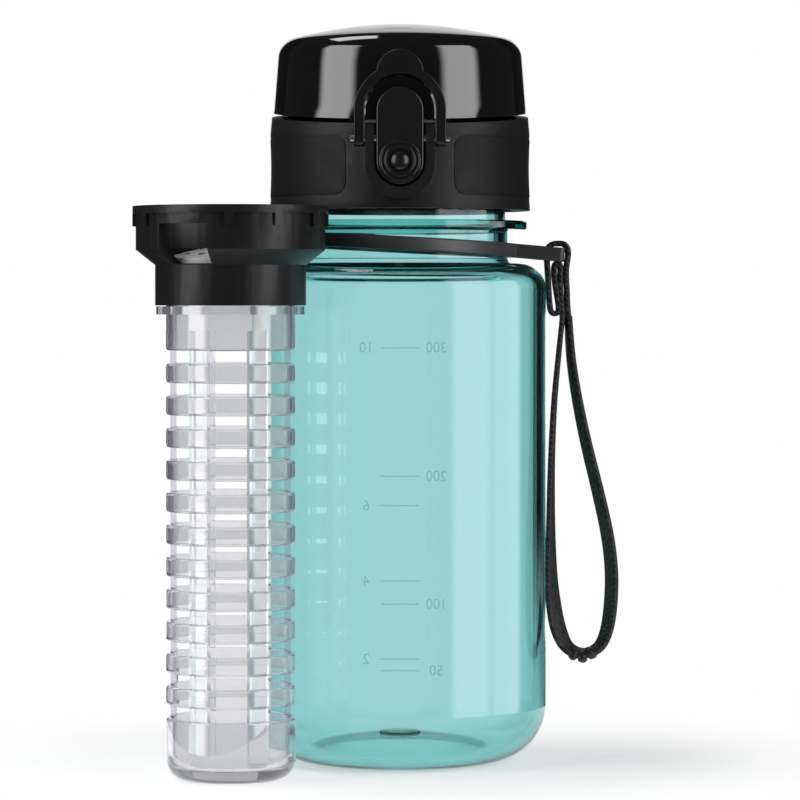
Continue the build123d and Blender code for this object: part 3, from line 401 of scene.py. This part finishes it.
def screw_ridge(name, root, crest, steps=160):
    """The neck's screw ridge, which grows out of the wall at both ends."""
    work = bmesh.new()
    rings = []
    inside = root - bead_edge * mm
    root_half, crest_half = thread_root_width * mm / 2, thread_crest_width * mm / 2
    for step in range(steps + 1):
        turn = 2 * math.pi * thread_turns * step / steps
        height = (thread_start + thread_pitch * thread_turns * step / steps) * mm
        grow = min(1.0, 8 * step / steps, 8 * (steps - step) / steps)
        reach = root + (crest - root) * grow
        section = [
            (inside, -root_half), (root, -root_half), (reach, -crest_half),
            (reach, crest_half), (root, root_half), (inside, root_half),
        ]
        rings.append([
            work.verts.new((radius * math.cos(turn), radius * math.sin(turn), height + rise))
            for radius, rise in section
        ])
    skin(work, rings)
    made = finished(work, name)
    shade(made)
    return made


ridge = screw_ridge("neck_thread", neck_radius * mm, thread_crest_radius * mm)
place(ridge, "bottle", "aqua_clear")


# Volume scale on the rear wall: thin raised lines with numbers, read from the back
line_reach = 0.0048
line_half_width = 0.00016
line_rise = 0.00012
sunk = 0.00003
number_size = 0.0037
number_half_depth = 0.00006
millilitre_place = 0.0092
ounce_place = -0.0085


def wrap_on_wall(piece):
    """Bends a flat piece, drawn in X and Z, round the rear wall."""
    radius = body_radius * mm
    for vertex in piece.data.vertices:
        across, out, up = vertex.co
        turn = math.pi / 2 - across / radius
        reach = radius + out
        vertex.co = (reach * math.cos(turn), reach * math.sin(turn), up)


def scale_line(name, height, steps=12):
    """One raised line of the volume scale."""
    work = bmesh.new()
    section = [
        (-sunk, -line_half_width), (line_rise, -line_half_width), (line_rise, line_half_width),
        (-sunk, line_half_width),
    ]
    rings = []
    for step in range(steps + 1):
        across = line_reach * (2 * step / steps - 1)
        rings.append([work.verts.new((across, out, height + rise)) for out, rise in section])
    skin(work, rings)
    made = finished(work, name)
    wrap_on_wall(made)
    return made


def scale_number(name, words, across, height):
    """A raised number of the volume scale, centred on a place across and up."""
    text = bpy.data.curves.new(name, "FONT")
    text.body = words
    text.size = number_size
    text.align_x, text.align_y = "CENTER", "CENTER"
    text.extrude = number_half_depth
    text.resolution_u = 4
    flat = add_object(name + "_flat", text)
    bpy.context.view_layer.update()
    mesh = bpy.data.meshes.new_from_object(flat)
    bpy.data.objects.remove(flat)
    mesh.name = name
    for vertex in mesh.vertices:
        x, y, z = vertex.co
        vertex.co = (across - x, z + sunk, height + y)
    mesh.flip_normals()
    made = add_object(name, mesh)
    wrap_on_wall(made)
    return made


scale_pieces = []
for words, height in (("300", 95.63), ("200", 64.6), ("100", 33.6), ("50", 17.5)):
    scale_pieces.append(scale_line(f"scale_line_{words}_ml", height * mm))
    scale_pieces.append(scale_number(f"scale_number_{words}_ml", words, millilitre_place, height * mm))
for words, height in (("10", 95.63), ("6", 57.5), ("4", 39.2), ("2", 20.3)):
    if words != "10":
        scale_pieces.append(scale_line(f"scale_line_{words}_oz", height * mm))
    scale_pieces.append(scale_number(f"scale_number_{words}_oz", words, ounce_place, height * mm))
for piece in scale_pieces:
    place(piece, "bottle", "aqua_clear")
    piece.data.materials.clear()
    piece.data.materials.append(scale_ink)


# Lanyard: flat woven tape that hangs in one upright plane
LANYARD_POINTS = [
    (0.0379, 0.1035), (0.0371, 0.0958), (0.0359, 0.0834), (0.0353, 0.0699), (0.03515, 0.0556),
    (0.03525, 0.0429), (0.0359, 0.0352), (0.0371, 0.0296), (0.0392, 0.0256), (0.0431, 0.0244),
    (0.0468, 0.0261), (0.0485, 0.0304), (0.0493, 0.0366), (0.0495, 0.0436), (0.0486, 0.0520),
    (0.0462, 0.0626), (0.0432, 0.0745), (0.0409, 0.0860), (0.0395, 0.0962), (0.03925, 0.1035),
]
WEBBING_WIDTH = 0.005
WEBBING_THICKNESS = 0.0013


def flat_tape_outline(name, width, thickness):
    """The tape's cross-section, a flat closed outline with rounded ends, kept out of the render."""
    outline = bpy.data.curves.new(name, "CURVE")
    outline.dimensions = "2D"
    rim = outline.splines.new("POLY")
    half_width, half_thickness = width / 2, thickness / 2
    bend = half_thickness * 0.8
    points = []
    for centre_x, centre_y, start in (
        (half_width - bend, half_thickness - bend, 0),
        (bend - half_width, half_thickness - bend, 90),
        (bend - half_width, bend - half_thickness, 180),
        (half_width - bend, bend - half_thickness, 270),
    ):
        points += arc((centre_x, centre_y), bend, start, 90, 3)
    rim.points.add(len(points) - 1)
    for target, (x, y) in zip(rim.points, points):
        target.co = (x, y, 0, 1)
    rim.use_cyclic_u = True
    made = add_object(name, outline)
    made.hide_render = True
    made.hide_viewport = True
    return made


tape_outline = flat_tape_outline("tape_outline", WEBBING_WIDTH, WEBBING_THICKNESS)


def webbing_tape(name, points, turns):
    """Flat tape along control points in the plane y = 0, turned a little out of square at each one."""
    data = bpy.data.curves.new(name, "CURVE")
    data.dimensions = "3D"
    route = data.splines.new("NURBS")
    route.points.add(len(points) - 1)
    for target, (x, z), turn in zip(route.points, points, turns):
        target.co = (x, 0.0, z, 1)
        target.tilt = math.radians(turn)
    route.order_u = 3
    route.use_endpoint_u = True
    route.resolution_u = 12
    data.bevel_mode = "OBJECT"
    data.bevel_object = tape_outline
    data.use_fill_caps = True
    return add_object(name, data)


LANYARD_TURNS = [2, 3, 5, 8, 14, 26, 40, 42, 26, 10, 18, 25, 27, 26, 25, 23, 20, 16, 11, 6]
tape = webbing_tape("lanyard_webbing", LANYARD_POINTS, LANYARD_TURNS)
place(tape, "strap", "webbing", "lanyard_loop")


def tape_fold(name, centre, slope, rounds=28, steps=18):
    """A gathered fold of the tape at the foot of the loop: a soft lump with creases across it."""
    half_run, half_width, half_height = 0.0012, 0.0027, 0.0015
    work = bmesh.new()
    turn = math.radians(slope)
    rings = []
    for step in range(1, steps):
        along = math.cos(math.pi * step / steps)
        girth = math.sin(math.pi * step / steps) ** 0.7
        run = half_run * along
        ring = []
        for here in range(rounds):
            angle = 2 * math.pi * here / rounds
            crease = 1 + 0.10 * math.cos(5 * angle + 3 * along)
            across = half_width * girth * math.cos(angle)
            out = half_height * girth * crease * math.sin(angle)
            x = centre[0] + run * math.cos(turn) - out * math.sin(turn)
            z = centre[1] + run * math.sin(turn) + out * math.cos(turn)
            ring.append(work.verts.new((x, across, z)))
        rings.append(ring)
    skin(work, rings)
    made = finished(work, name)
    shade(made, 60.0)
    return made


fold_places = [((0.0406, 0.0246), -32), ((0.0426, 0.0240), 2), ((0.0446, 0.0248), 32)]
for count, (centre, slope) in enumerate(fold_places):
    place(tape_fold(f"tape_fold_{count + 1}", centre, slope), "strap", "webbing")

# The two raised rings round the latch button's stud, rounder than the solid's
stud_place = Vector((0.0, button_front, stud_height)) * mm
facing_front = Matrix.Translation(stud_place) @ Matrix.Rotation(math.pi / 2, 4, "X")
ring_round = 0.34
for count, radius in enumerate(stud_ring_radii):
    stud_ring = lathe(f"stud_ring_{count + 1}", arc((radius, 0.0), ring_round, 0, 360, 24)[:-1], segments=96)
    stud_ring.data.transform(facing_front)
    place(stud_ring, "button", "button_matte")

# The latch's spring, a smooth-shaded copy of the solid that rides with the lid
spring_coil = add_object("latch_spring_coil", nodes["latch_spring"].data.copy())
spring_coil.matrix_world = nodes["latch_spring"].matrix_world.copy()
shade(spring_coil)
place(spring_coil, "lid", "steel", "latch_spring")
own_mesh(spring_coil)

# Hitch: the same tape, folded up to the tongue, down, round, over the tongue's end bar and down again
HITCH_POINTS = [
    (0.0379, 0.1033), (0.0375, 0.1070), (0.03725, 0.1110), (0.0374, 0.1140), (0.0373, 0.1155),
    (0.0366, 0.1158), (0.0360, 0.1155), (0.0358, 0.1140), (0.0361, 0.1110), (0.0368, 0.1070),
    (0.0371, 0.1046), (0.0361, 0.1039), (0.0351, 0.1044), (0.0348, 0.1066), (0.0345, 0.1120),
    (0.0342, 0.1165), (0.0342, 0.1192), (0.0354, 0.1203), (0.0367, 0.1204), (0.0384, 0.1203),
    (0.0393, 0.1186), (0.0389, 0.1160), (0.0386, 0.1135), (0.0389, 0.1090), (0.03895, 0.1060),
    (0.03925, 0.1033),
]
hitch = webbing_tape("hitch_webbing", HITCH_POINTS, [0] * len(HITCH_POINTS))
place(hitch, "strap", "webbing", "lanyard_hitch")


# Stage: floor, backdrop, lights and camera
def stage_material(name, strength, fade):
    """Matt floor that keeps the object's shadow, and plain white further out or through clear plastic."""
    made = bpy.data.materials.new(name)
    made.use_nodes = True
    tree = made.node_tree
    tree.nodes.clear()
    output = tree.nodes.new("ShaderNodeOutputMaterial")
    matt = tree.nodes.new("ShaderNodeBsdfDiffuse")
    matt.inputs["Color"].default_value = (0.8, 0.8, 0.8, 1)
    glow = tree.nodes.new("ShaderNodeEmission")
    glow.inputs["Strength"].default_value = strength
    both = tree.nodes.new("ShaderNodeAddShader")
    white = tree.nodes.new("ShaderNodeEmission")
    white.inputs["Strength"].default_value = 1.0
    place = tree.nodes.new("ShaderNodeTexCoord")
    reach = tree.nodes.new("ShaderNodeVectorMath")
    reach.operation = "LENGTH"
    fade_out = tree.nodes.new("ShaderNodeMapRange")
    fade_out.interpolation_type = "SMOOTHSTEP"
    fade_out.inputs["From Min"].default_value = fade[0]
    fade_out.inputs["From Max"].default_value = fade[1]
    path = tree.nodes.new("ShaderNodeLightPath")
    whiter = tree.nodes.new("ShaderNodeMath")
    whiter.operation = "MAXIMUM"
    mix = tree.nodes.new("ShaderNodeMixShader")
    tree.links.new(place.outputs["Object"], reach.inputs[0])
    tree.links.new(reach.outputs["Value"], fade_out.inputs["Value"])
    tree.links.new(fade_out.outputs["Result"], whiter.inputs[0])
    tree.links.new(path.outputs["Is Transmission Ray"], whiter.inputs[1])
    tree.links.new(whiter.outputs["Value"], mix.inputs["Fac"])
    tree.links.new(matt.outputs["BSDF"], both.inputs[0])
    tree.links.new(glow.outputs["Emission"], both.inputs[1])
    tree.links.new(both.outputs["Shader"], mix.inputs[1])
    tree.links.new(white.outputs["Emission"], mix.inputs[2])
    tree.links.new(mix.outputs["Shader"], output.inputs["Surface"])
    return made


floor_radius = 0.125
below_feet = -0.0001
bpy.ops.mesh.primitive_circle_add(
    vertices=96, radius=floor_radius, fill_type="NGON", location=(0, 0, below_feet)
)
floor = bpy.context.object
floor.name = "floor"
floor.data.materials.append(stage_material("floor_white", 0.33, fade=(0.06, 0.12)))


def softbox(name, place, target, width, height, power):
    """A rectangular light that points at a target and dims towards its two upright edges.

    It isn't seen itself, nor through clear plastic, but shows in glossy surfaces.
    """
    lamp = bpy.data.lights.new(name, "AREA")
    lamp.shape = "RECTANGLE"
    lamp.size, lamp.size_y = width, height
    lamp.energy = power
    lamp.use_nodes = True
    tree = lamp.node_tree
    glow = next(node for node in tree.nodes if node.type == "EMISSION")
    where = tree.nodes.new("ShaderNodeNewGeometry")
    across = tree.nodes.new("ShaderNodeSeparateXYZ")
    middle = tree.nodes.new("ShaderNodeMath")
    middle.operation = "PINGPONG"
    middle.inputs[1].default_value = 0.5
    level = tree.nodes.new("ShaderNodeMapRange")
    level.interpolation_type = "SMOOTHSTEP"
    level.inputs["From Max"].default_value = 0.22
    level.inputs["To Max"].default_value = 1.15
    tree.links.new(where.outputs["Parametric"], across.inputs["Vector"])
    tree.links.new(across.outputs["X"], middle.inputs[0])
    tree.links.new(middle.outputs["Value"], level.inputs["Value"])
    tree.links.new(level.outputs["Result"], glow.inputs["Strength"])
    made = add_object(name, lamp)
    made.location = place
    made.rotation_euler = (Vector(target) - Vector(place)).to_track_quat("-Z", "Y").to_euler()
    made.visible_camera = False
    made.visible_transmission = False
    return made


def around(azimuth, distance, height):
    """A place at an azimuth from the front, positive to the right."""
    turn = math.radians(azimuth)
    return (distance * math.sin(turn), -distance * math.cos(turn), height)


lamp_distance = 1.3
lamp_aim = (0, 0, 0.1)
softbox("left_softbox", around(-60, lamp_distance, 0.35), lamp_aim, 1.0, 1.5, 18.0)
softbox("right_softbox", around(58, lamp_distance, 0.35), lamp_aim, 1.05, 1.5, 18.0)

# A side light for the bottle's wall alone, which makes the far half of its right band
only_bottle = bpy.data.collections.new("only_bottle")
only_bottle.objects.link(shell)
side_softbox = softbox("low_right_softbox", around(92, lamp_distance, 0.05), (0, 0, 0.05), 0.9, 1.3, 11.5)
side_softbox.light_linking.receiver_collection = only_bottle

softbox("top_softbox", (-0.45, 0.1, 1.2), (0, 0, 0.05), 0.5, 0.5, 4.5)


def upright_plane(name, middle, width, height):
    """A plane that faces the front."""
    bpy.ops.mesh.primitive_plane_add(size=1.0, location=middle, rotation=(math.radians(90), 0, 0))
    made = bpy.context.object
    made.name = name
    made.scale = (width, height, 1.0)
    return made


def dark_flag(name, side):
    """A dark upright card beside the backdrop, fading out at its foot, which the rounded edges pick up."""
    card = upright_plane(name, (side * 1.18, 1.6, 0.2), 1.44, 2.8)
    made, tree, shader, _ = new_material(name)
    shader.inputs["Base Color"].default_value = (0.01, 0.01, 0.01, 1)
    shader.inputs["Roughness"].default_value = 1.0
    place = tree.nodes.new("ShaderNodeTexCoord")
    split = tree.nodes.new("ShaderNodeSeparateXYZ")
    fade_out = tree.nodes.new("ShaderNodeMapRange")
    fade_out.interpolation_type = "SMOOTHSTEP"
    fade_out.inputs["From Min"].default_value = -0.15
    fade_out.inputs["From Max"].default_value = -0.085
    tree.links.new(place.outputs["Object"], split.inputs["Vector"])
    tree.links.new(split.outputs["Y"], fade_out.inputs["Value"])
    tree.links.new(fade_out.outputs["Result"], shader.inputs["Alpha"])
    card.data.materials.append(made)
    card.visible_camera = False
    card.visible_diffuse = False
    card.visible_shadow = False


dark_flag("left_flag", -1)
dark_flag("right_flag", 1)

# World: white where it is seen directly or through clear plastic, and dim where it is mirrored
def sky_level(sky, strength):
    """A plain white world of one strength."""
    level = sky.nodes.new("ShaderNodeBackground")
    level.inputs["Color"].default_value = (1, 1, 1, 1)
    level.inputs["Strength"].default_value = strength
    return level.outputs["Background"]


world = bpy.data.worlds.new("studio")
bpy.context.scene.world = world
world.use_nodes = True
sky = world.node_tree
sky.nodes.clear()
sky_output = sky.nodes.new("ShaderNodeOutputWorld")
sky_path = sky.nodes.new("ShaderNodeLightPath")
seen = sky.nodes.new("ShaderNodeMath")
seen.operation = "MAXIMUM"
mirror_mix = sky.nodes.new("ShaderNodeMixShader")
seen_mix = sky.nodes.new("ShaderNodeMixShader")
sky.links.new(sky_path.outputs["Is Camera Ray"], seen.inputs[0])
sky.links.new(sky_path.outputs["Is Transmission Ray"], seen.inputs[1])
sky.links.new(sky_path.outputs["Is Glossy Ray"], mirror_mix.inputs["Fac"])
sky.links.new(sky_level(sky, 0.25), mirror_mix.inputs[1])
sky.links.new(sky_level(sky, 0.04), mirror_mix.inputs[2])
sky.links.new(seen.outputs["Value"], seen_mix.inputs["Fac"])
sky.links.new(mirror_mix.outputs["Shader"], seen_mix.inputs[1])
sky.links.new(sky_level(sky, 1.0), seen_mix.inputs[2])
sky.links.new(seen_mix.outputs["Shader"], sky_output.inputs["Surface"])

# Backdrop: a white card behind the object
backdrop = upright_plane("backdrop", (0, 2.5, 1.0), 4.0, 2.4)
backdrop_material = bpy.data.materials.new("backdrop_white")
backdrop_material.use_nodes = True
backdrop_tree = backdrop_material.node_tree
backdrop_tree.nodes.clear()
backdrop_output = backdrop_tree.nodes.new("ShaderNodeOutputMaterial")
backdrop_glow = backdrop_tree.nodes.new("ShaderNodeEmission")
backdrop_glow.inputs["Strength"].default_value = 1.0
backdrop_tree.links.new(backdrop_glow.outputs["Emission"], backdrop_output.inputs["Surface"])
backdrop.data.materials.append(backdrop_material)
backdrop.visible_diffuse = False

# Camera
camera_data = bpy.data.cameras.new("camera")
camera_data.lens = 173.7
camera_data.sensor_width = 36.0
camera_data.clip_end = 50.0
camera = add_object("camera", camera_data)
camera.location = (0, -0.9, 0.1072)
aim = Vector((0, 0, 0.0839)) - camera.location
camera.rotation_euler = aim.to_track_quat("-Z", "Y").to_euler()
bpy.context.scene.camera = camera
bpy.context.scene.view_settings.view_transform = "Standard"
